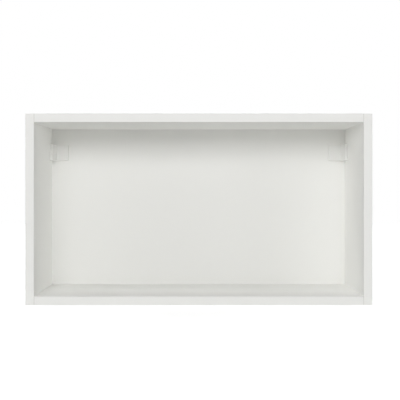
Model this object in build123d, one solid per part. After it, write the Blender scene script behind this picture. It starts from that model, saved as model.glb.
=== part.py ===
# Kitchen wall cabinet with an open front: a carcass of white melamine-faced chipboard held by
# cam locks and dowels, a back panel slid into grooves, and in each upper back corner a bent steel
# suspension bracket under a moulded cover that pulls off towards the front.
# Millimetres, +Z up. The open front faces -Y and the wall is at +Y. The origin is the middle of
# the underside.
import os

from build123d import *

# Overall sizes
overall_width = 725
overall_height = 400
overall_depth = 370

# Boards, edge bands and back panel
board_thickness = 18
edge_band_thickness = 1
edge_band_bevel = 0.5
back_thickness = 3
back_recess = 20
back_groove_width = 3.2
back_groove_depth = 8
back_edge_gap = 1

# Notch at the rear edge of each side panel, for the suspension rail on the wall
rail_notch_depth = 12
rail_notch_height = 50

# Places of the cam locks and dowels along the depth of the cabinet
lock_from_front = 50
lock_pitch = 224

# Cam lock: the round housing in the top or bottom panel
lock_setback = 34
lock_hole_radius = 7.5
lock_hole_depth = 14
lock_radius_gap = 0.1
lock_face_inset = 0.2
lock_height = 13.5
lock_chamber_side = 7
lock_neck_slot_height = 5.2
lock_neck_slot_start = -45
lock_neck_slot_end = 90
lock_cross_length = 8.5
lock_cross_width = 1.3
lock_cross_depth = 2.5

# Cam bolt: screwed into the side panel at one end, its head held in the lock at the other
bolt_bore_radius = 4
bolt_shank_radius = 2.4
bolt_shank_gap = 0.1
bolt_in_side = 11
bolt_head_radius = 3.2
bolt_head_length = 3.2
bolt_head_past_centre = 1.4
bolt_collar_radius = 3.7
bolt_collar_length = 2.5

# Wooden dowel
dowel_radius = 4
dowel_radius_gap = 0.1
dowel_length = 35
dowel_in_side = 11
blind_hole_gap = 1

# Small round pieces that repeat inside the boards are ten-sided, the dowels as fluted pegs
small_round_sides = 10

# Corner cover
cover_width = 39
cover_height = 37
cover_below_top = 36.5
cover_plate_standoff = 13
cover_wing_reach = 52
cover_wing_root = 11.5
cover_wing_tip = 7
cover_wall = 1.4
cover_gap = 0.2
cover_corner_round = 1.6
cover_root_round = 0.6
cover_edge_bevel = 1.1

# Suspension bracket
bracket_thickness = 2
bracket_bend_radius = 2
bracket_edge_gap = 0.3
bracket_behind_back = 8
bracket_front_gap = 5
bracket_back_flange = 36
bracket_corner_bevel = 4
slot_from_side = 25
slot_radius = 4.5
slot_length = 18
gusset_outer_radius = 4
gusset_crown_from_corner = 3.5

# Notch in the back panel that the bracket reaches through, hidden by the cover
back_notch_margin = 1.5
back_notch_round = 3

# Screws that hold the bracket to the side panel
screw_from_flange_front = 10
screw_pitch = 22
screw_head_radius = 4.4
screw_head_height = 2.4
screw_shank_radius = 2.4
screw_shank_gap = 0.1
screw_bracket_gap = 0.4
screw_length = 13
screw_cross_length = 4.6
screw_cross_width = 1
screw_cross_depth = 1.2

# One overrun for every cut that runs past a face
cut_overrun = 2

# Faces that several pieces share
outer_x = overall_width / 2
inner_x = outer_x - board_thickness
front_y = -overall_depth / 2
rear_y = overall_depth / 2
board_front_y = front_y + edge_band_thickness
top_underside_z = overall_height - board_thickness
back_rear_y = rear_y - back_recess
back_front_y = back_rear_y - back_thickness

# Levels and places of the fittings
half_board = board_thickness / 2
joint_levels = (half_board, overall_height - half_board)
lock_ys = (front_y + lock_from_front, front_y + lock_from_front + lock_pitch)
dowel_y = (lock_ys[0] + lock_ys[1]) / 2
bolt_hole_radius = bolt_shank_radius + bolt_shank_gap
bolt_hole_depth = bolt_in_side + blind_hole_gap
dowel_in_panel = dowel_length - dowel_in_side

# Places of the bracket and its cover, at the right side
cover_top_z = top_underside_z - cover_below_top
cover_bottom_z = cover_top_z - cover_height
cover_middle_z = (cover_top_z + cover_bottom_z) / 2
cover_side_x = inner_x - cover_gap
cover_rear_y = back_front_y - cover_gap
cover_plate_y = cover_rear_y - cover_plate_standoff
cover_tip_y = cover_rear_y - cover_wing_reach
bracket_height = cover_height - 2 * (cover_wall + bracket_edge_gap)
bracket_rear_y = back_rear_y + bracket_behind_back + bracket_thickness
bracket_front_y = cover_tip_y + cover_wall + bracket_front_gap
bracket_face_x = inner_x - bracket_thickness
slot_x = inner_x - slot_from_side
screw_ys = (
    bracket_front_y + screw_from_flange_front,
    bracket_front_y + screw_from_flange_front + screw_pitch,
)
screw_hole_radius = screw_shank_radius + screw_shank_gap
screw_hole_depth = screw_length - bracket_thickness + blind_hole_gap


def block(x_range, y_range, z_range):
    """A square-edged block between two corners."""
    middle = [(low + high) / 2 for low, high in (x_range, y_range, z_range)]
    sides = [high - low for low, high in (x_range, y_range, z_range)]
    return Pos(*middle) * Box(*sides)


def rod_along_x(radius, x_start, x_end, y, z):
    """A round bar or drilling along X, from one depth to another."""
    return Pos((x_start + x_end) / 2, y, z) * Rot(0, 90, 0) * Cylinder(radius, x_end - x_start)


def sided_rod_along_x(radius, x_start, x_end, y, z):
    """A many-sided bar along X, inside the circle of its radius."""
    section = Plane(origin=(x_start, y, z), z_dir=(1, 0, 0)) * RegularPolygon(radius, small_round_sides)
    return extrude(section, x_end - x_start)


def left_copy(shape):
    """The same piece at the left side of the cabinet."""
    return mirror(shape, about=Plane.YZ)


# Side panel: groove for the back panel, notch for the rail, and holes for bolts, dowels and screws
def right_side_panel():
    panel = block(
        (inner_x, outer_x),
        (board_front_y, rear_y),
        (edge_band_thickness, overall_height - edge_band_thickness),
    )
    panel -= back_groove_in_side()
    panel -= block(
        (inner_x - cut_overrun, outer_x + cut_overrun),
        (rear_y - rail_notch_depth, rear_y + cut_overrun),
        (cover_middle_z - rail_notch_height / 2, cover_middle_z + rail_notch_height / 2),
    )
    for z in joint_levels:
        for y in lock_ys:
            panel -= rod_along_x(bolt_hole_radius, inner_x, inner_x + bolt_hole_depth, y, z)
        dowel_hole_end = inner_x + dowel_in_side + blind_hole_gap
        panel -= rod_along_x(dowel_radius, inner_x, dowel_hole_end, dowel_y, z)
    for y in screw_ys:
        panel -= rod_along_x(screw_hole_radius, inner_x, inner_x + screw_hole_depth, y, cover_middle_z)
    return panel


def back_groove_in_side():
    """The saw groove along the whole inner face of a side panel."""
    return block(
        (inner_x - cut_overrun, inner_x + back_groove_depth),
        (back_front_y, back_front_y + back_groove_width),
        (-cut_overrun, overall_height + cut_overrun),
    )


# Top and bottom panels: groove for the back panel, housings for the cam locks, end bores
def bottom_panel():
    panel = block((-inner_x, inner_x), (board_front_y, rear_y), (0, board_thickness))
    panel -= block(
        (-inner_x - cut_overrun, inner_x + cut_overrun),
        (back_front_y, back_front_y + back_groove_width),
        (board_thickness - back_groove_depth, board_thickness + cut_overrun),
    )
    for drilling in right_end_drillings():
        panel -= drilling
        panel -= left_copy(drilling)
    return panel


def right_end_drillings():
    """The lock housings, bolt bores and dowel bores at the right end of the bottom panel."""
    drillings = []
    for y in lock_ys:
        housing = Cylinder(lock_hole_radius, lock_hole_depth + cut_overrun)
        drillings.append(Pos(inner_x - lock_setback, y, (lock_hole_depth - cut_overrun) / 2) * housing)
        drillings.append(rod_along_x(bolt_bore_radius, inner_x - lock_setback, inner_x, y, half_board))
    dowel_hole_start = inner_x - dowel_in_panel - blind_hole_gap
    drillings.append(rod_along_x(dowel_radius, dowel_hole_start, inner_x, dowel_y, half_board))
    return drillings


def top_copy(shape):
    """The same piece at the top panel, turned over."""
    return mirror(shape, about=Plane.XY.offset(overall_height / 2))


# Back panel: thin hardboard in the four grooves, notched at each bracket
def back_panel():
    half_width = inner_x + back_groove_depth - back_edge_gap
    low_z = board_thickness - back_groove_depth + back_edge_gap
    panel = block(
        (-half_width, half_width), (back_front_y, back_rear_y), (low_z, overall_height - low_z)
    )
    notch = back_notch()
    return panel - notch - left_copy(notch)


def back_notch():
    """The opening at the right edge of the back panel, smaller than the cover that hides it."""
    notch = block(
        (cover_side_x - cover_width + back_notch_margin, inner_x + back_groove_depth + cut_overrun),
        (back_front_y - cut_overrun, back_rear_y + cut_overrun),
        (cover_bottom_z + back_notch_margin, cover_top_z - back_notch_margin),
    )
    inner_edges = notch.edges().filter_by(Axis.Y).group_by(Axis.X)[0]
    return fillet(inner_edges, back_notch_round)


# Edge bands: plastic strips glued to the cut edges of the boards, with broken edges at the front
def right_side_front_band():
    band = block((inner_x, outer_x), (front_y, board_front_y), (0, overall_height))
    return chamfer(band.edges().filter_by(Axis.Z).group_by(Axis.Y)[0], edge_band_bevel)


def right_side_bottom_band():
    band = block((inner_x, outer_x), (board_front_y, rear_y), (0, edge_band_thickness))
    return band - back_groove_in_side()


def bottom_front_band():
    band = block((-inner_x, inner_x), (front_y, board_front_y), (0, board_thickness))
    return chamfer(band.edges().filter_by(Axis.X).group_by(Axis.Y)[0], edge_band_bevel)


# Cam lock: a drum with a square chamber for the bolt head, open at one side where the head goes in,
# a slot that lets the drum turn round the bolt, and a cross recess.
# Built for the bottom panel's right end: its face is down and the bolt comes in along +X.
def cam_lock():
    drum_radius = lock_hole_radius - lock_radius_gap
    drum = Pos(0, 0, lock_face_inset + lock_height / 2) * Cylinder(drum_radius, lock_height)
    half_side = lock_chamber_side / 2
    drum -= block(
        (-half_side, half_side),
        (-half_side, drum_radius + cut_overrun),
        (half_board - half_side, half_board + half_side),
    )
    drum -= Pos(0, 0, half_board) * turning_slot(drum_radius + cut_overrun)
    cross_z = lock_face_inset + (lock_cross_depth - cut_overrun) / 2
    arm = Box(lock_cross_length, lock_cross_width, lock_cross_depth + cut_overrun)
    drum -= Pos(0, 0, cross_z) * arm
    drum -= Pos(0, 0, cross_z) * Rot(0, 0, 90) * arm
    return drum


def turning_slot(reach):
    """The wedge-shaped cut that lets the drum turn round the bolt."""
    middle_angle = (lock_neck_slot_start + lock_neck_slot_end) / 2
    start, middle, end = [
        Vector(reach, 0, 0).rotate(Axis.Z, angle)
        for angle in (lock_neck_slot_start, middle_angle, lock_neck_slot_end)
    ]
    centre = Vector(0, 0, 0)
    outline = Line(centre, start) + ThreePointArc(start, middle, end) + Line(end, centre)
    return extrude(make_face(outline), lock_neck_slot_height / 2, both=True)


# Cam bolt: head in the lock, shank, collar against the side panel, and the end screwed into it
def cam_bolt():
    head_end = -bolt_head_past_centre
    head_start = head_end + bolt_head_length
    side_end = lock_setback + bolt_in_side
    bolt = sided_rod_along_x(bolt_head_radius, head_end, head_start, 0, 0)
    bolt += sided_rod_along_x(bolt_shank_radius, head_start, side_end, 0, 0)
    bolt += sided_rod_along_x(bolt_collar_radius, lock_setback - bolt_collar_length, lock_setback, 0, 0)
    return bolt


# Dowel: fluted beech peg across the joint of two boards
def dowel():
    return sided_rod_along_x(dowel_radius - dowel_radius_gap, -dowel_in_panel, dowel_in_side, 0, 0)


# Suspension bracket: strip bent round the corner, a gusset pressed into the bend, a slot for the
# bolt of the wall rail and two screw holes
def right_bracket():
    outline = Polyline(
        (inner_x, bracket_front_y),
        (inner_x, bracket_rear_y),
        (inner_x - bracket_back_flange, bracket_rear_y),
        (inner_x - bracket_back_flange, bracket_rear_y - bracket_thickness),
        (bracket_face_x, bracket_rear_y - bracket_thickness),
        (bracket_face_x, bracket_front_y),
        close=True,
    )
    strip = extrude(make_face(outline), bracket_height / 2, both=True)
    strip = bend_rounded(strip)
    strip += gusset(gusset_outer_radius) & bracket_envelope()
    strip -= gusset(gusset_outer_radius - bracket_thickness)
    strip -= Pos(slot_x, bracket_rear_y, 0) * bolt_slot()
    for y in screw_ys:
        hole_radius = screw_shank_radius + screw_bracket_gap
        strip -= rod_along_x(hole_radius, bracket_face_x - cut_overrun, inner_x + cut_overrun, y, 0)
    return Pos(0, 0, cover_middle_z) * strip


def bend_rounded(strip):
    """The strip with its bend rounded inside and out, and its four free corners clipped."""
    strip = outside_of_bend_rounded(strip)
    inside_x = bend_corner().X - bracket_thickness
    inside_y = bend_corner().Y - bracket_thickness
    bend_inside = nearest_edge(strip.edges().filter_by(Axis.Z), inside_x, inside_y)
    strip = fillet(bend_inside, bracket_bend_radius)
    side_ends = strip.edges().filter_by(Axis.X).group_by(Axis.Y)[0]
    strip = chamfer(side_ends, bracket_corner_bevel)
    back_ends = strip.edges().filter_by(Axis.Y).group_by(Axis.X)[0]
    return chamfer(back_ends, bracket_corner_bevel)


def bend_corner():
    """The outer corner of the bend, at mid-height of the strip."""
    return Vector(inner_x, bracket_rear_y, 0)


def outside_of_bend_rounded(shape):
    """The shape with the edge at the outer corner of the bend rounded."""
    upright = shape.edges().filter_by(Axis.Z)
    bend_outside = nearest_edge(upright, bend_corner().X, bend_corner().Y)
    return fillet(bend_outside, bracket_bend_radius + bracket_thickness)


def bracket_envelope():
    """The space inside the corner that the side panel and the rail leave to the gussets."""
    corner = block(
        (inner_x - bracket_back_flange, inner_x),
        (bracket_front_y, bracket_rear_y),
        (-bracket_height / 2, bracket_height / 2),
    )
    return outside_of_bend_rounded(corner)


def gusset(radius):
    """A round-crowned ridge laid diagonally across the bend, or the dent behind it."""
    reach = gusset_crown_from_corner * 2 + gusset_outer_radius * 2
    across_bend = Plane(origin=bend_corner(), x_dir=(-1, -1, 0), z_dir=(-1, 1, 0))
    crown = Pos(gusset_crown_from_corner, 0) * Circle(radius)
    foot_start = -cut_overrun
    foot_length = gusset_crown_from_corner - foot_start
    foot = Pos((foot_start + gusset_crown_from_corner) / 2, 0) * Rectangle(foot_length, radius * 2)
    return extrude(across_bend * (crown + foot), reach, both=True)


def bolt_slot():
    """The level slot for the rail bolt, cut through the back flange."""
    outline = Rot(90, 0, 0) * SlotOverall(slot_length, slot_radius * 2)
    return extrude(outline, bracket_thickness + cut_overrun, both=True)


# Bracket screw: flat round head with a cross recess, shank through the bracket into the board
def bracket_screw():
    head_start = -bracket_thickness - screw_head_height
    screw = rod_along_x(screw_head_radius, head_start, -bracket_thickness, 0, 0)
    thread_end = screw_length - bracket_thickness
    screw += sided_rod_along_x(screw_shank_radius, -bracket_thickness, thread_end, 0, 0)
    arm = Box(screw_cross_depth + cut_overrun, screw_cross_length, screw_cross_width)
    arm = Pos(head_start + (screw_cross_depth - cut_overrun) / 2, 0, 0) * arm
    return screw - arm - Rot(90, 0, 0) * arm


# Corner cover: moulded shell, a flat plate over the bolt and a tapered wing along the side panel.
# It is open towards the back panel and the side panel, and its walls slide along the bracket.
def right_cover():
    shell = extrude(cover_plan(0), cover_height)
    upright = shell.edges().filter_by(Axis.Z)
    tip = nearest_edge(upright, cover_side_x - cover_wing_tip, cover_tip_y)
    plate_edge = nearest_edge(upright, cover_side_x - cover_width, cover_plate_y)
    shell = fillet([tip, plate_edge], cover_corner_round)
    root = nearest_edge(
        shell.edges().filter_by(Axis.Z), cover_side_x - cover_wing_root, cover_plate_y
    )
    shell = fillet(root, cover_root_round)
    shell = chamfer(front_rim(shell), cover_edge_bevel)
    hollow = offset(cover_plan(cover_wall + cut_overrun), -cover_wall, kind=Kind.INTERSECTION)
    hollow = extrude(hollow, cover_height - 2 * cover_wall)
    return Pos(0, 0, cover_bottom_z) * (shell - Pos(0, 0, cover_wall) * hollow)


def cover_plan(past_open_sides):
    """The cover seen from above. The two open sides can be drawn further out, for the hollow."""
    side_x = cover_side_x + past_open_sides
    rear_y_here = cover_rear_y + past_open_sides
    outline = Polyline(
        (side_x, rear_y_here),
        (side_x, cover_tip_y),
        (cover_side_x - cover_wing_tip, cover_tip_y),
        (cover_side_x - cover_wing_root, cover_plate_y),
        (cover_side_x - cover_width, cover_plate_y),
        (cover_side_x - cover_width, rear_y_here),
        close=True,
    )
    return make_face(outline)


def nearest_edge(edges, x, y):
    """The upright edge that stands nearest to a place in plan."""
    return edges.sort_by(lambda edge: (edge.center().X - x) ** 2 + (edge.center().Y - y) ** 2)[0]


def front_rim(shell):
    """The edges round the top and bottom of the cover that face the room."""
    level = shell.edges().group_by(Axis.Z)
    rim = level[0] + level[-1]
    on_side = cover_side_x - cover_edge_bevel
    on_back = cover_rear_y - cover_edge_bevel
    return [e for e in rim if e.center().X < on_side and e.center().Y < on_back]


def along_fittings(piece, ys, x_place):
    """Copies of a fitting at each depth place, at both ends of the bottom panel."""
    right = [Pos(x_place, y, 0) * piece for y in ys]
    return right + [left_copy(copy) for copy in right]


os.makedirs("parts", exist_ok=True)

lock_x = inner_x - lock_setback
bottom_locks = along_fittings(cam_lock(), lock_ys, lock_x)
low_bolts = [Pos(lock_x, y, half_board) * cam_bolt() for y in lock_ys]
right_bolts = low_bolts + [top_copy(bolt) for bolt in low_bolts]
bottom_dowels = along_fittings(Pos(0, 0, half_board) * dowel(), [dowel_y], inner_x)
right_screws = [Pos(inner_x, y, cover_middle_z) * bracket_screw() for y in screw_ys]
all_screws = right_screws + [left_copy(screw) for screw in right_screws]

pieces = {
    "bottom_panel": bottom_panel(),
    "top_panel": top_copy(bottom_panel()),
    "back_panel": back_panel(),
    "bottom_panel_front_edge_band": bottom_front_band(),
    "top_panel_front_edge_band": top_copy(bottom_front_band()),
    "bottom_cam_locks": Compound(children=bottom_locks),
    "top_cam_locks": Compound(children=[top_copy(lock) for lock in bottom_locks]),
    "bottom_dowels": Compound(children=bottom_dowels),
    "top_dowels": Compound(children=[top_copy(peg) for peg in bottom_dowels]),
    "right_side_cam_bolts": Compound(children=right_bolts),
    "left_side_cam_bolts": Compound(children=[left_copy(bolt) for bolt in right_bolts]),
    "bracket_screws": Compound(children=all_screws),
}

handed_pieces = {
    "side_panel": right_side_panel(),
    "side_front_edge_band": right_side_front_band(),
    "side_bottom_edge_band": right_side_bottom_band(),
    "side_top_edge_band": top_copy(right_side_bottom_band()),
    "suspension_bracket": right_bracket(),
    "corner_cover": right_cover(),
}
for name, piece in handed_pieces.items():
    pieces["right_" + name] = piece
    pieces["left_" + name] = left_copy(piece)

for name, piece in pieces.items():
    export_step(piece, f"parts/{name}.step")
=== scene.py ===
import math

import bpy
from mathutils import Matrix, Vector


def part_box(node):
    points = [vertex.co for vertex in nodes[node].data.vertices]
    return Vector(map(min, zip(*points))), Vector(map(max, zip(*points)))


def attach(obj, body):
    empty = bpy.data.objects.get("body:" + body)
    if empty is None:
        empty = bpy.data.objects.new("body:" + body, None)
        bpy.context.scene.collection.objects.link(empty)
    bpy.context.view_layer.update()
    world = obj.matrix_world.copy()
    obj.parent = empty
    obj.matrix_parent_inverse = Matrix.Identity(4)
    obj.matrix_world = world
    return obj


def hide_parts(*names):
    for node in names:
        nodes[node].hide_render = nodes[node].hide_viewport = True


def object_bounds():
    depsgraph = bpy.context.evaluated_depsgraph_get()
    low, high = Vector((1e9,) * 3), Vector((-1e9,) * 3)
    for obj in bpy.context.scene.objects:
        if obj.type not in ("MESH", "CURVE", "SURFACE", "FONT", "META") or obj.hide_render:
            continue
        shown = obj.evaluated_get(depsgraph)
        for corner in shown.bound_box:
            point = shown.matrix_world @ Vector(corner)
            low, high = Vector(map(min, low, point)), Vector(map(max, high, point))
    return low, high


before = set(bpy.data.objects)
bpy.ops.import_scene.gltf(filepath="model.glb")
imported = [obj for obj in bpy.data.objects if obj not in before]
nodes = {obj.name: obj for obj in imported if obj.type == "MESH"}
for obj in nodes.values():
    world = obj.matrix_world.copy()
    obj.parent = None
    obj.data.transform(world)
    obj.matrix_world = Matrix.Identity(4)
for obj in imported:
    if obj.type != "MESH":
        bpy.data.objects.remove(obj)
cad_low, cad_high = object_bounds()

# Side, top and bottom panels: 18 mm chipboard, wood chips pressed with resin, with white melamine
# paper pressed on both faces. The rear edges, grooves and holes are bare and show the chips.
MELAMINE_WHITE = "#F5F5F3"
CHIP_LIGHT = "#D9BC8C"
CHIP_DARK = "#96724A"
RESIN_BROWN = "#6B4D31"
RESIN_SHARE = 0.15
MELAMINE_ROUGHNESS = 0.58
CHIP_ROUGHNESS = 0.9
MELAMINE_SKIN = 0.0003
FINE_LAYER = 0.0035
LONG_CHIP = 0.0045
THIN_CHIP = 0.0013
FINE_CHIP = 0.0007
PEARL_WIDTH = 0.0025


def linear(hex_colour):
    """An sRGB hex colour as linear RGBA."""
    channels = [int(hex_colour[i:i + 2], 16) / 255 for i in (1, 3, 5)]
    return [c / 12.92 if c <= 0.04045 else ((c + 0.055) / 1.055) ** 2.4 for c in channels] + [1]


def add_node(tree, kind, inputs, **settings):
    """A shader node with its settings, its plain values and the sockets that feed it."""
    node = tree.nodes.new(kind)
    for name, value in settings.items():
        setattr(node, name, value)
    for name, value in inputs.items():
        if isinstance(value, bpy.types.NodeSocket):
            tree.links.new(value, node.inputs[name])
        else:
            node.inputs[name].default_value = value
    return node


def new_material(name, roughness, metallic=0):
    """A material with its node tree and its Principled shader."""
    material = bpy.data.materials.new(name)
    material.use_nodes = True
    shader = material.node_tree.nodes["Principled BSDF"]
    shader.inputs["Roughness"].default_value = roughness
    shader.inputs["Metallic"].default_value = metallic
    return material, material.node_tree, shader


def faced_chipboard(name, axis, pair_centre, off_centre, chip_scale):
    """Faced chipboard for two boards whose middles lie off_centre either side of pair_centre.

    White paper at the two faces, bare chips at every cut: fine ones near the faces, long ones in
    the middle. The paper has a pearl texture, drawn coarser than its real 1 mm so that it shows.
    """
    material, tree, shader = new_material(name, MELAMINE_ROUGHNESS)
    places = add_node(tree, "ShaderNodeTexCoord", {}).outputs["Object"]
    depth = add_node(tree, "ShaderNodeSeparateXYZ", {"Vector": places}).outputs[axis]
    for distance in (pair_centre, off_centre):
        beyond = add_node(
            tree, "ShaderNodeMath", {0: depth, 1: distance}, operation="SUBTRACT"
        ).outputs[0]
        depth = add_node(tree, "ShaderNodeMath", {0: beyond}, operation="ABSOLUTE").outputs[0]
    depth = add_node(
        tree, "ShaderNodeMath", {0: board_thickness / 2, 1: depth}, operation="SUBTRACT"
    ).outputs[0]
    bare = add_node(
        tree, "ShaderNodeMath", {0: depth, 1: MELAMINE_SKIN}, operation="GREATER_THAN"
    ).outputs[0]
    in_core = add_node(
        tree, "ShaderNodeMath", {0: depth, 1: FINE_LAYER}, operation="GREATER_THAN"
    ).outputs[0]

    chip_places = add_node(tree, "ShaderNodeMapping", {"Vector": places, "Scale": chip_scale})
    long_chips = add_node(
        tree, "ShaderNodeTexVoronoi", {"Vector": chip_places.outputs["Vector"], "Scale": 1.0}
    )
    fine_chips = add_node(tree, "ShaderNodeTexVoronoi", {"Vector": places, "Scale": 1 / FINE_CHIP})
    # a Mix node takes numbers at 2 and 3, and colours at 6 and 7
    chip_tint = add_node(
        tree, "ShaderNodeMix",
        {"Factor": in_core, 6: fine_chips.outputs["Color"], 7: long_chips.outputs["Color"]},
        data_type="RGBA",
    ).outputs[2]
    tone = add_node(tree, "ShaderNodeSeparateColor", {"Color": chip_tint})
    wood = add_node(
        tree, "ShaderNodeMix",
        {"Factor": tone.outputs["Red"], 6: linear(CHIP_DARK), 7: linear(CHIP_LIGHT)},
        data_type="RGBA",
    ).outputs[2]
    resin_rich = add_node(
        tree, "ShaderNodeMath", {0: tone.outputs["Green"], 1: 1 - RESIN_SHARE},
        operation="GREATER_THAN",
    ).outputs[0]
    cut_face = add_node(
        tree, "ShaderNodeMix", {"Factor": resin_rich, 6: wood, 7: linear(RESIN_BROWN)},
        data_type="RGBA",
    ).outputs[2]
    colour = add_node(
        tree, "ShaderNodeMix", {"Factor": bare, 6: linear(MELAMINE_WHITE), 7: cut_face},
        data_type="RGBA",
    ).outputs[2]
    roughness = add_node(
        tree, "ShaderNodeMix", {"Factor": bare, 2: MELAMINE_ROUGHNESS, 3: CHIP_ROUGHNESS},
        data_type="FLOAT",
    ).outputs[0]
    pearl = add_node(
        tree, "ShaderNodeTexNoise", {"Vector": places, "Scale": 1 / PEARL_WIDTH, "Detail": 2.0}
    ).outputs["Fac"]
    height = add_node(
        tree, "ShaderNodeMix", {"Factor": bare, 2: pearl, 3: tone.outputs["Blue"]},
        data_type="FLOAT",
    ).outputs[0]
    bump = add_node(
        tree, "ShaderNodeBump", {"Height": height, "Strength": 0.25, "Distance": 0.00008}
    )
    tree.links.new(colour, shader.inputs["Base Color"])
    tree.links.new(roughness, shader.inputs["Roughness"])
    tree.links.new(bump.outputs["Normal"], shader.inputs["Normal"])
    return material


def dress(material, *names):
    """Gives a material to CAD pieces."""
    for name in names:
        for material_slot in nodes[name].material_slots:
            material_slot.material = material


side_low, side_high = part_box("right_side_panel")
bottom_low, bottom_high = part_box("bottom_panel")
top_low, top_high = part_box("top_panel")
board_thickness = side_high.x - side_low.x
mid_height = (bottom_low.z + top_high.z) / 2
upright_chipboard = faced_chipboard(
    "melamine_faced_chipboard_upright", "X", 0.0, (side_low.x + side_high.x) / 2,
    (1 / THIN_CHIP, 1 / LONG_CHIP, 1 / LONG_CHIP),
)
level_chipboard = faced_chipboard(
    "melamine_faced_chipboard_level", "Z", mid_height, (top_low.z + top_high.z) / 2 - mid_height,
    (1 / LONG_CHIP, 1 / LONG_CHIP, 1 / THIN_CHIP),
)
dress(upright_chipboard, "left_side_panel", "right_side_panel")
dress(level_chipboard, "top_panel", "bottom_panel")

# Edge bands: 1 mm strips of extruded white ABS, glued to the cut edges and trimmed with a small
# bevel. A fine grey line is painted where the bands of two boards meet at each front corner: the
# glue line, together with painted shade of the hairline gap between the bands.
BAND_WHITE = "#F2F2EF"
BAND_ROUGHNESS = 0.48
JOINT_SHADE = "#CFCFCA"
JOINT_HALF_WIDTH = 0.0004
ROLLER_WIDTH = 0.004

# extruded through rollers: as white as the boards, a little smoother, with a soft unevenness
edge_band, tree, shader = new_material("extruded_white_abs", BAND_ROUGHNESS)
places = add_node(tree, "ShaderNodeTexCoord", {}).outputs["Object"]
across = add_node(tree, "ShaderNodeSeparateXYZ", {"Vector": places})
sideways = add_node(
    tree, "ShaderNodeMath", {0: across.outputs["X"]}, operation="ABSOLUTE"
).outputs[0]
at_joint = add_node(
    tree, "ShaderNodeMath", {0: sideways, 1: side_low.x, 2: JOINT_HALF_WIDTH}, operation="COMPARE"
).outputs[0]
off_middle = add_node(
    tree, "ShaderNodeMath", {0: across.outputs["Z"], 1: mid_height}, operation="SUBTRACT"
).outputs[0]
up_or_down = add_node(tree, "ShaderNodeMath", {0: off_middle}, operation="ABSOLUTE").outputs[0]
beside_board = add_node(
    tree, "ShaderNodeMath", {0: up_or_down, 1: top_low.z - mid_height}, operation="GREATER_THAN"
).outputs[0]
painted_joint_shade = add_node(
    tree, "ShaderNodeMath", {0: at_joint, 1: beside_board}, operation="MULTIPLY"
).outputs[0]
# the grey along the joints is the glue line with painted shade of the hairline gap
colour = add_node(
    tree, "ShaderNodeMix", {"Factor": painted_joint_shade, 6: linear(BAND_WHITE), 7: linear(JOINT_SHADE)},
    data_type="RGBA",
).outputs[2]
rolled = add_node(
    tree, "ShaderNodeTexNoise", {"Vector": places, "Scale": 1 / ROLLER_WIDTH, "Detail": 1.0}
).outputs["Fac"]
bump = add_node(tree, "ShaderNodeBump", {"Height": rolled, "Strength": 0.2, "Distance": 0.00005})
tree.links.new(colour, shader.inputs["Base Color"])
tree.links.new(bump.outputs["Normal"], shader.inputs["Normal"])
dress(
    edge_band,
    "left_side_front_edge_band", "right_side_front_edge_band",
    "left_side_bottom_edge_band", "right_side_bottom_edge_band",
    "left_side_top_edge_band", "right_side_top_edge_band",
    "bottom_panel_front_edge_band", "top_panel_front_edge_band",
)

# Cam bolts: turned steel, zinc plated. One end screws into the side panel up to a collar, and the
# head at the other end sits in the cam lock. It has a cross recess for the screwdriver.
PLATED_STEEL = "#C3C8CE"
PLATED_ROUGHNESS = 0.28
TOOL_MARKS = 0.0006
BOLT_SIDES = 32
BOLT_HEAD = 0.0032
BOLT_NECK = 0.0021
BOLT_COLLAR = 0.0037
BOLT_CREST = 0.0024
BOLT_ROOT = 0.0018
BOLT_PITCH = 0.0018
BOLT_BEVEL = 0.0004
BOLT_CROSS = 0.0036
BOLT_CROSS_ARM = 0.0008
CROSS_DEPTH = 0.0016
CROSS_TAPER = 0.6
BOLT_COLLAR_LENGTH = 0.0025
HEAD_LENGTH = 0.0026
SHARP_EDGE = 35
LOCK_FROM_FRONT = 0.050
LOCK_PITCH = 0.224


def turned_piece(name, sides, stations):
    """A piece turned on a lathe along X, through stations of place and radius, on the X axis."""
    bpy.ops.object.select_all(action="DESELECT")
    place, radius = stations[0]
    bpy.ops.mesh.primitive_circle_add(
        vertices=sides, radius=radius, fill_type="NGON",
        location=(place, 0, 0), rotation=(0, math.radians(90), 0),
    )
    bpy.ops.object.transform_apply(location=True, rotation=True, scale=True)
    piece = bpy.context.object
    piece.name = name
    bpy.ops.object.mode_set(mode="EDIT")
    bpy.ops.mesh.select_all(action="SELECT")
    for next_place, next_radius in stations[1:]:
        bpy.ops.mesh.extrude_region_move(
            TRANSFORM_OT_translate={"value": (next_place - place, 0, 0)}
        )
        ratio = next_radius / radius
        bpy.ops.transform.resize(value=(1, ratio, ratio), center_override=(next_place, 0, 0))
        place, radius = next_place, next_radius
    bpy.ops.mesh.select_all(action="SELECT")
    bpy.ops.mesh.normals_make_consistent(inside=False)
    bpy.ops.object.mode_set(mode="OBJECT")
    return piece


def thread(start, end, pitch, crest, root):
    """The stations of a thread: a crest and a root for each turn."""
    stations = []
    place = start
    while place + pitch < end:
        stations += [(place + 0.25 * pitch, root), (place + 0.7 * pitch, root)]
        stations += [(place + 0.95 * pitch, crest), (place + pitch, crest)]
        place += pitch
    return stations


def select_faces(piece, wanted):
    """Selects the faces that pass a test of their centre and normal, and nothing else."""
    for kind in (piece.data.vertices, piece.data.edges, piece.data.polygons):
        kind.foreach_set("select", [False] * len(kind))
    for face in piece.data.polygons:
        face.select = wanted(face.center, face.normal)


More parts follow.
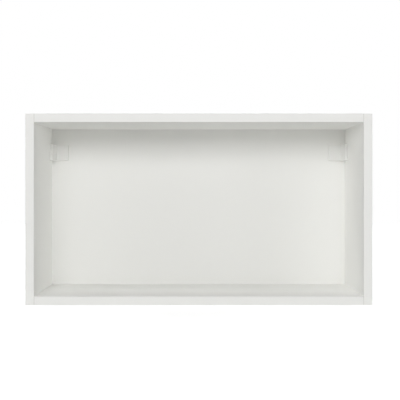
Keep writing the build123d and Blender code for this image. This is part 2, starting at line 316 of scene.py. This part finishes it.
def cut_cross(piece, face_place, size, arm_width, depth):
    """Cuts a tapered cross recess into the end of a turned piece that faces -X."""
    bpy.ops.object.select_all(action="DESELECT")
    overrun = depth / 4
    bpy.ops.mesh.primitive_cube_add(size=1, location=(face_place + (depth - overrun) / 2, 0, 0))
    cutter = bpy.context.object
    cutter.scale = (depth + overrun, arm_width, arm_width)
    bpy.ops.object.transform_apply(location=True, rotation=True, scale=True)
    arm = (size - arm_width) / 2
    for way in (Vector((0, 1, 0)), Vector((0, -1, 0)), Vector((0, 0, 1)), Vector((0, 0, -1))):
        select_faces(
            cutter,
            lambda centre, normal: normal.dot(way) > 0.9 and centre.dot(way) < arm_width,
        )
        bpy.ops.object.mode_set(mode="EDIT")
        bpy.ops.mesh.extrude_region_move(TRANSFORM_OT_translate={"value": way * arm})
        bpy.ops.object.mode_set(mode="OBJECT")
    deep_end = face_place + depth
    select_faces(cutter, lambda centre, normal: normal.x > 0.9)
    bpy.ops.object.mode_set(mode="EDIT")
    bpy.ops.transform.resize(
        value=(1, CROSS_TAPER, CROSS_TAPER), center_override=(deep_end, 0, 0)
    )
    bpy.ops.object.mode_set(mode="OBJECT")

    bpy.ops.object.select_all(action="DESELECT")
    piece.select_set(True)
    bpy.context.view_layer.objects.active = piece
    cut = piece.modifiers.new("cross_recess", "BOOLEAN")
    cut.operation = "DIFFERENCE"
    cut.solver = "EXACT"
    cut.object = cutter
    bpy.ops.object.modifier_apply(modifier=cut.name)
    bpy.data.objects.remove(cutter)


def smooth(piece, angle):
    """Smooth shading, with an edge kept wherever the surface turns by more than the angle."""
    bpy.ops.object.select_all(action="DESELECT")
    piece.select_set(True)
    bpy.context.view_layer.objects.active = piece
    bpy.ops.object.shade_smooth_by_angle(angle=math.radians(angle))


def place_copies(piece, node, places):
    """Copies of a piece for each place and turn about Z, standing for a CAD node's solids."""
    for number, (place, turn) in enumerate(places, 1):
        bpy.ops.object.select_all(action="DESELECT")
        piece.select_set(True)
        bpy.context.view_layer.objects.active = piece
        bpy.ops.object.duplicate(linked=False)
        copy = bpy.context.object
        copy.name = f"{node}_{number}"
        copy.location = place
        copy.rotation_euler = (0, 0, math.radians(turn))
        bpy.ops.object.transform_apply(location=True, rotation=True, scale=True)
        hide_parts(node)
        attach(copy, "cabinet")


# zinc plated and passivated: bright, faintly blue, with the fine marks of the lathe, which are
# drawn coarser than their real 0.1 mm so that they show
plated_steel, tree, shader = new_material("zinc_plated_steel", PLATED_ROUGHNESS, 1)
shader.inputs["Base Color"].default_value = linear(PLATED_STEEL)
places = add_node(tree, "ShaderNodeTexCoord", {}).outputs["Object"]
lines = add_node(
    tree, "ShaderNodeTexNoise", {"Vector": places, "Scale": 1 / TOOL_MARKS, "Detail": 1.0}
).outputs["Fac"]
bump = add_node(tree, "ShaderNodeBump", {"Height": lines, "Strength": 0.15, "Distance": 0.00003})
tree.links.new(bump.outputs["Normal"], shader.inputs["Normal"])

bolt_low, bolt_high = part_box("right_side_cam_bolts")
inner_face = side_low.x
collar_start = inner_face - BOLT_COLLAR_LENGTH
bolt = turned_piece("cam_bolt", BOLT_SIDES, [
    (bolt_low.x, BOLT_HEAD - BOLT_BEVEL),
    (bolt_low.x + BOLT_BEVEL, BOLT_HEAD),
    (bolt_low.x + HEAD_LENGTH, BOLT_HEAD),
    (bolt_low.x + HEAD_LENGTH + BOLT_BEVEL, BOLT_NECK),
    (collar_start, BOLT_NECK),
    (collar_start, BOLT_COLLAR - BOLT_BEVEL),
    (collar_start + BOLT_BEVEL, BOLT_COLLAR),
    (inner_face, BOLT_COLLAR),
    (inner_face, BOLT_CREST),
] + thread(inner_face, bolt_high.x, BOLT_PITCH, BOLT_CREST, BOLT_ROOT) + [
    (bolt_high.x, BOLT_ROOT / 2),
])
cut_cross(bolt, bolt_low.x, BOLT_CROSS, BOLT_CROSS_ARM, CROSS_DEPTH)
smooth(bolt, SHARP_EDGE)
bolt.data.materials.append(plated_steel)

lock_ys = (cad_low.y + LOCK_FROM_FRONT, cad_low.y + LOCK_FROM_FRONT + LOCK_PITCH)
joint_levels = ((bottom_low.z + bottom_high.z) / 2, (top_low.z + top_high.z) / 2)
corner_places = [(0, y, z) for z in joint_levels for y in lock_ys]
place_copies(bolt, "right_side_cam_bolts", [(place, 0) for place in corner_places])
place_copies(bolt, "left_side_cam_bolts", [(place, 180) for place in corner_places])
bpy.data.objects.remove(bolt)

# Dowels: 8 by 35 mm pegs turned from beech, fluted so that spare glue can get out, with broken
# ends. One is glued into each corner joint, between the two cam bolts.
BEECH_LIGHT = "#D8B184"
BEECH_DARK = "#B98A5C"
BEECH_ROUGHNESS = 0.6
BEECH_FLECK = 0.0012
DOWEL_LENGTH = 0.035
DOWEL_RADIUS = 0.0039
DOWEL_BEVEL = 0.0008
FLUTES = 18
FLUTE_BOTTOM = 0.9
FLUTE_EDGE = 20

# turned beech: pale reddish brown, with short darker flecks five times as long as wide
turned_beech, tree, shader = new_material("turned_beech", BEECH_ROUGHNESS)
places = add_node(tree, "ShaderNodeTexCoord", {}).outputs["Object"]
along_grain = add_node(
    tree, "ShaderNodeMapping",
    {"Vector": places, "Scale": (0.2 / BEECH_FLECK, 1 / BEECH_FLECK, 1 / BEECH_FLECK)},
).outputs["Vector"]
flecks = add_node(
    tree, "ShaderNodeTexNoise", {"Vector": along_grain, "Scale": 1.0, "Detail": 3.0}
).outputs["Fac"]
colour = add_node(
    tree, "ShaderNodeMix", {"Factor": flecks, 6: linear(BEECH_DARK), 7: linear(BEECH_LIGHT)},
    data_type="RGBA",
).outputs[2]
bump = add_node(tree, "ShaderNodeBump", {"Height": flecks, "Strength": 0.3, "Distance": 0.0001})
tree.links.new(colour, shader.inputs["Base Color"])
tree.links.new(bump.outputs["Normal"], shader.inputs["Normal"])

dowel_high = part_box("bottom_dowels")[1]
peg_start = dowel_high.x - DOWEL_LENGTH
peg = turned_piece("dowel", FLUTES * 2, [
    (peg_start, DOWEL_RADIUS - DOWEL_BEVEL),
    (peg_start + DOWEL_BEVEL, DOWEL_RADIUS),
    (dowel_high.x - DOWEL_BEVEL, DOWEL_RADIUS),
    (dowel_high.x, DOWEL_RADIUS - DOWEL_BEVEL),
])
# every other corner of the ring is drawn in, which leaves the flutes
for corner in peg.data.vertices:
    turn = math.atan2(corner.co.z, corner.co.y) / math.tau * FLUTES * 2
    corner.select = round(turn) % 2 == 1
for kind in (peg.data.edges, peg.data.polygons):
    kind.foreach_set("select", [False] * len(kind))
bpy.ops.object.mode_set(mode="EDIT")
bpy.ops.mesh.select_mode(type="VERT")
bpy.ops.transform.resize(value=(1, FLUTE_BOTTOM, FLUTE_BOTTOM), center_override=(0, 0, 0))
bpy.ops.mesh.select_mode(type="FACE")
bpy.ops.object.mode_set(mode="OBJECT")
smooth(peg, FLUTE_EDGE)
peg.data.materials.append(turned_beech)

dowel_y = (lock_ys[0] + lock_ys[1]) / 2
for node, level in (("bottom_dowels", joint_levels[0]), ("top_dowels", joint_levels[1])):
    place_copies(
        peg, node, [((0, dowel_y, level), 0), ((0, dowel_y, level), 180)]
    )
bpy.data.objects.remove(peg)

# Cam locks: zinc drums, die cast, pressed into holes in the outer faces of the top and bottom
# panels. Turned with a screwdriver, each draws the head of its bolt in and holds the corner.
ZINC_LIGHT = "#B9BCBE"
ZINC_DARK = "#8F9396"
CAST_ROUGHNESS = 0.42
CAST_GRAIN = 0.0012
CAST_ROUND = 0.00025


def rounded_copy(node, body, material, edge_round):
    """A copy of a CAD piece with merged faces, rounded edges and smooth shading, in its place."""
    bpy.ops.object.select_all(action="DESELECT")
    nodes[node].select_set(True)
    bpy.context.view_layer.objects.active = nodes[node]
    bpy.ops.object.duplicate(linked=False)
    copy = bpy.context.object
    copy.name = f"{node}_rounded"
    bpy.ops.object.mode_set(mode="EDIT")
    bpy.ops.mesh.select_all(action="SELECT")
    bpy.ops.mesh.remove_doubles(threshold=0.000001)
    bpy.ops.mesh.dissolve_limited(angle_limit=math.radians(0.5))
    bpy.ops.object.mode_set(mode="OBJECT")
    rounding = copy.modifiers.new("rounded_edges", "BEVEL")
    rounding.limit_method = "ANGLE"
    rounding.angle_limit = math.radians(SHARP_EDGE)
    rounding.width = edge_round
    rounding.segments = 2
    bpy.ops.object.modifier_apply(modifier=rounding.name)
    smooth(copy, SHARP_EDGE)
    copy.data.materials.clear()
    copy.data.materials.append(material)
    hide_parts(node)
    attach(copy, body)


# die-cast zinc: dull grey, with the slight mottle of the casting skin
cast_zinc, tree, shader = new_material("die_cast_zinc", CAST_ROUGHNESS, 1)
places = add_node(tree, "ShaderNodeTexCoord", {}).outputs["Object"]
grain = add_node(
    tree, "ShaderNodeTexNoise", {"Vector": places, "Scale": 1 / CAST_GRAIN, "Detail": 3.0}
).outputs["Fac"]
colour = add_node(
    tree, "ShaderNodeMix", {"Factor": grain, 6: linear(ZINC_DARK), 7: linear(ZINC_LIGHT)},
    data_type="RGBA",
).outputs[2]
bump = add_node(tree, "ShaderNodeBump", {"Height": grain, "Strength": 0.3, "Distance": 0.00005})
tree.links.new(colour, shader.inputs["Base Color"])
tree.links.new(bump.outputs["Normal"], shader.inputs["Normal"])
for node in ("bottom_cam_locks", "top_cam_locks"):
    rounded_copy(node, "cabinet", cast_zinc, CAST_ROUND)

# Back panel: 3 mm hardboard, pressed from wet wood fibre, slid into the grooves of the four
# boards. Its front is lacquered white, its rear bare brown fibre.
LACQUER_WHITE = "#F5F5F3"
LACQUER_ROUGHNESS = 0.48
FIBRE_ROUGHNESS = 0.85
FIBRE_LIGHT = "#A98358"
FIBRE_DARK = "#6E4F31"
LACQUER_THICKNESS = 0.0002
FIBRE_LENGTH = 0.006
FIBRE_WIDTH = 0.0009
FIBRE_SLANT = 17
SCREEN_PITCH = 0.0035

# lacquered smooth at the front, at the rear matted fibres and the print of the wire screen that
# it dried on, whose mesh is drawn at twice its size so that it shows
hardboard, tree, shader = new_material("white_lacquered_hardboard", LACQUER_ROUGHNESS)
back_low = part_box("back_panel")[0]
places = add_node(tree, "ShaderNodeTexCoord", {}).outputs["Object"]
across = add_node(tree, "ShaderNodeSeparateXYZ", {"Vector": places})
bare = add_node(
    tree, "ShaderNodeMath", {0: across.outputs["Y"], 1: back_low.y + LACQUER_THICKNESS},
    operation="GREATER_THAN",
).outputs[0]
along_fibres = add_node(
    tree, "ShaderNodeMapping",
    {
        "Vector": places,
        "Rotation": (0, math.radians(FIBRE_SLANT), 0),
        "Scale": (1 / FIBRE_LENGTH, 1 / FIBRE_WIDTH, 1 / FIBRE_WIDTH),
    },
).outputs["Vector"]
fibres = add_node(
    tree, "ShaderNodeTexNoise",
    {"Vector": along_fibres, "Scale": 1.0, "Detail": 4.0, "Distortion": 1.2},
).outputs["Fac"]
fibre_brown = add_node(
    tree, "ShaderNodeMix", {"Factor": fibres, 6: linear(FIBRE_DARK), 7: linear(FIBRE_LIGHT)},
    data_type="RGBA",
).outputs[2]
colour = add_node(
    tree, "ShaderNodeMix", {"Factor": bare, 6: linear(LACQUER_WHITE), 7: fibre_brown},
    data_type="RGBA",
).outputs[2]
roughness = add_node(
    tree, "ShaderNodeMix", {"Factor": bare, 2: LACQUER_ROUGHNESS, 3: FIBRE_ROUGHNESS},
    data_type="FLOAT",
).outputs[0]
wires = []
for axis in ("X", "Z"):
    turns = add_node(
        tree, "ShaderNodeMath", {0: across.outputs[axis], 1: math.tau / SCREEN_PITCH},
        operation="MULTIPLY",
    ).outputs[0]
    wires.append(add_node(tree, "ShaderNodeMath", {0: turns}, operation="SINE").outputs[0])
screen = add_node(
    tree, "ShaderNodeMath", {0: wires[0], 1: wires[1]}, operation="MULTIPLY"
).outputs[0]
height = add_node(tree, "ShaderNodeMath", {0: screen, 1: bare}, operation="MULTIPLY").outputs[0]
bump = add_node(tree, "ShaderNodeBump", {"Height": height, "Strength": 0.5, "Distance": 0.0002})
tree.links.new(colour, shader.inputs["Base Color"])
tree.links.new(roughness, shader.inputs["Roughness"])
tree.links.new(bump.outputs["Normal"], shader.inputs["Normal"])
dress(hardboard, "back_panel")

# Suspension brackets: 2 mm steel strip, hot-dip galvanised, bent round the corner with a gusset
# pressed across the bend. The back flange reaches through the back panel to the wall rail.
SPANGLE_LIGHT = "#C6C9CB"
SPANGLE_DARK = "#A3A7AA"
SPANGLE_WIDTH = 0.006
SMOOTHEST_SPANGLE = 0.34
ROUGHEST_SPANGLE = 0.5
STRIP_ROUND = 0.0003

# hot-dip galvanised: zinc crystals give patches of slightly different grey and gloss
galvanised_steel, tree, shader = new_material("galvanised_sheet_steel", SMOOTHEST_SPANGLE, 1)
places = add_node(tree, "ShaderNodeTexCoord", {}).outputs["Object"]
spangles = add_node(
    tree, "ShaderNodeTexVoronoi", {"Vector": places, "Scale": 1 / SPANGLE_WIDTH}
).outputs["Color"]
spangle_tone = add_node(tree, "ShaderNodeSeparateColor", {"Color": spangles}).outputs["Red"]
colour = add_node(
    tree, "ShaderNodeMix",
    {"Factor": spangle_tone, 6: linear(SPANGLE_DARK), 7: linear(SPANGLE_LIGHT)},
    data_type="RGBA",
).outputs[2]
roughness = add_node(
    tree, "ShaderNodeMix",
    {"Factor": spangle_tone, 2: SMOOTHEST_SPANGLE, 3: ROUGHEST_SPANGLE},
    data_type="FLOAT",
).outputs[0]
tree.links.new(colour, shader.inputs["Base Color"])
tree.links.new(roughness, shader.inputs["Roughness"])
for node in ("left_suspension_bracket", "right_suspension_bracket"):
    rounded_copy(node, "cabinet", galvanised_steel, STRIP_ROUND)

# Bracket screws: pan-head chipboard screws of plated steel, with a cross recess. Two go through
# each bracket into the side panel.
SCREW_SIDES = 32
SCREW_HEAD = 0.0044
SCREW_FLANK = 0.0038
SCREW_CREST = 0.0024
SCREW_ROOT = 0.0016
SCREW_PITCH = 0.0018
SCREW_CROSS = 0.0046
SCREW_CROSS_ARM = 0.001
SCREW_LENGTH = 0.013
HEAD_HEIGHT = 0.0024
SCREW_FROM_FLANGE = 0.010
SCREW_SPACING = 0.022

screw_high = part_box("bracket_screws")[1]
bracket_low, bracket_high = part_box("right_suspension_bracket")
head_seat = screw_high.x - SCREW_LENGTH
head_top = head_seat - HEAD_HEIGHT
# the pan head is drawn as a narrow flat top, a rounded shoulder and a full rim
screw = turned_piece("bracket_screw", SCREW_SIDES, [
    (head_top, SCREW_FLANK * 0.75),
    (head_top + HEAD_HEIGHT * 0.15, SCREW_FLANK),
    (head_top + HEAD_HEIGHT * 0.5, SCREW_HEAD * 0.97),
    (head_top + HEAD_HEIGHT * 0.75, SCREW_HEAD),
    (head_seat, SCREW_HEAD),
    (head_seat, SCREW_CREST),
    (inner_face, SCREW_CREST),
] + thread(inner_face, screw_high.x - SCREW_PITCH, SCREW_PITCH, SCREW_CREST, SCREW_ROOT) + [
    (screw_high.x, SCREW_ROOT / 4),
])
cut_cross(screw, head_top, SCREW_CROSS, SCREW_CROSS_ARM, CROSS_DEPTH)
smooth(screw, SHARP_EDGE)
screw.data.materials.append(plated_steel)

bracket_middle = (bracket_low.z + bracket_high.z) / 2
screw_ys = [bracket_low.y + SCREW_FROM_FLANGE + step for step in (0, SCREW_SPACING)]
place_copies(
    screw, "bracket_screws",
    [((0, y, bracket_middle), turn) for turn in (0, 180) for y in screw_ys],
)
bpy.data.objects.remove(screw)

# Corner covers: thin-walled shells injection moulded in white polypropylene. Each slides back over
# its bracket, grips it, and pulls off towards the front, so it rides on its own body.
COVER_WHITE = "#F1F1EF"
COVER_ROUGHNESS = 0.5
SPARK_GRAIN = 0.0012
MOULD_ROUND = 0.0003

# moulded polypropylene: a fine matt spark-eroded texture, drawn coarser than its real 0.3 mm
moulded_plastic, tree, shader = new_material("moulded_white_polypropylene", COVER_ROUGHNESS)
shader.inputs["Base Color"].default_value = linear(COVER_WHITE)
places = add_node(tree, "ShaderNodeTexCoord", {}).outputs["Object"]
sparks = add_node(
    tree, "ShaderNodeTexNoise", {"Vector": places, "Scale": 1 / SPARK_GRAIN, "Detail": 2.0}
).outputs["Fac"]
bump = add_node(tree, "ShaderNodeBump", {"Height": sparks, "Strength": 0.25, "Distance": 0.00005})
tree.links.new(bump.outputs["Normal"], shader.inputs["Normal"])
for side in ("left", "right"):
    rounded_copy(
        f"{side}_corner_cover", f"{side}_cover", moulded_plastic, MOULD_ROUND
    )

# Studio: a pale painted floor under white surroundings. Both look white to the camera and in
# reflections, but the cabinet's shadow stays on the floor, and the surroundings light nothing.
FLOOR_PALE = "#D4D4D4"
FLOOR_ROUGHNESS = 0.9
FLOOR_SIZE = 12
FLOOR_DROP = 0.0005
FLOOR_WHITENESS = 0.63


def seen_directly(tree):
    """1 for what the camera sees straight, mirrored or through glass, and 0 for light."""
    path = add_node(tree, "ShaderNodeLightPath", {})
    seen = path.outputs["Is Camera Ray"]
    for ray in ("Is Glossy Ray", "Is Transmission Ray"):
        seen = add_node(
            tree, "ShaderNodeMath", {0: seen, 1: path.outputs[ray]},
            operation="ADD", use_clamp=True,
        ).outputs[0]
    return seen


bpy.ops.object.select_all(action="DESELECT")
bpy.ops.mesh.primitive_plane_add(size=FLOOR_SIZE, location=(0, 0, -FLOOR_DROP))
floor = bpy.context.object
floor.name = "studio_floor"
floor_paint, tree, shader = new_material("pale_studio_paint", FLOOR_ROUGHNESS)
shader.inputs["Base Color"].default_value = linear(FLOOR_PALE)
whiteness = add_node(
    tree, "ShaderNodeMath", {0: seen_directly(tree), 1: FLOOR_WHITENESS}, operation="MULTIPLY"
).outputs[0]
white = add_node(tree, "ShaderNodeEmission", {"Strength": whiteness}).outputs["Emission"]
both = add_node(tree, "ShaderNodeAddShader", {0: shader.outputs["BSDF"], 1: white})
tree.links.new(both.outputs["Shader"], tree.nodes["Material Output"].inputs["Surface"])
floor.data.materials.append(floor_paint)

surroundings = bpy.data.worlds.new("white_surroundings")
surroundings.use_nodes = True
tree = surroundings.node_tree
unlit = tree.nodes["Background"]
unlit.inputs["Strength"].default_value = 0
white = add_node(tree, "ShaderNodeBackground", {"Color": (1, 1, 1, 1), "Strength": 1.0})
chosen = add_node(
    tree, "ShaderNodeMixShader",
    {"Fac": seen_directly(tree), 1: unlit.outputs["Background"], 2: white.outputs["Background"]},
)
tree.links.new(chosen.outputs["Shader"], tree.nodes["World Output"].inputs["Surface"])
bpy.context.scene.world = surroundings

# Soft boxes: three in front a little above the cabinet, one high up, and two behind it that only
# reach its outside. All face the middle of the cabinet.
LAMP_DISTANCE = 9.0
DIFFUSE_BOUNCES = 12
SOFT_BOXES = (
    # name, degrees right of the front, degrees up, width, height, watts
    ("left_soft_box", -52, 7.0, 3.0, 1.6, 169),
    ("front_soft_box", -2, 9.0, 3.0, 1.6, 186),
    ("right_soft_box", 40, 8.0, 3.0, 1.6, 126),
    ("high_soft_box", -5, 54, 2.0, 2.0, 205),
    ("rear_left_soft_box", -130, 24, 3.0, 2.2, 270),
    ("rear_right_soft_box", 130, 24, 3.0, 2.2, 270),
)
cabinet_middle = Vector((0, 0, mid_height))
for name, around, up, width, height, watts in SOFT_BOXES:
    lamp_data = bpy.data.lights.new(name, "AREA")
    lamp_data.shape = "RECTANGLE"
    lamp_data.size = width
    lamp_data.size_y = height
    lamp_data.energy = watts
    lamp = bpy.data.objects.new(name, lamp_data)
    bpy.context.scene.collection.objects.link(lamp)
    around, up = math.radians(around), math.radians(up)
    level = math.cos(up)
    outward = Vector((math.sin(around) * level, -math.cos(around) * level, math.sin(up)))
    lamp.location = cabinet_middle + outward * LAMP_DISTANCE
    lamp.rotation_euler = outward.to_track_quat("Z", "Y").to_euler()
    lamp.visible_camera = False

# light passes many times between the white boards
bpy.context.scene.cycles.diffuse_bounces = DIFFUSE_BOUNCES

# Camera: level and all but square to the front, 2.75 m away and a little above the middle. A lens
# shift frames the cabinet, so its upright edges stay parallel, as they are in the photograph.
CAMERA_PLACE = (-0.003, -2.936, 0.2446)
CAMERA_TURN = -0.11
LENS_LENGTH = 118.5
LENS_SHIFT = -0.0301
SENSOR_WIDTH = 36

camera_data = bpy.data.cameras.new("camera")
camera_data.sensor_width = SENSOR_WIDTH
camera_data.lens = LENS_LENGTH
camera_data.shift_y = LENS_SHIFT
camera = bpy.data.objects.new("camera", camera_data)
bpy.context.scene.collection.objects.link(camera)
camera.location = CAMERA_PLACE
camera.rotation_euler = (math.radians(90), 0, math.radians(CAMERA_TURN))
bpy.context.scene.camera = camera
bpy.context.scene.view_settings.view_transform = "Standard"
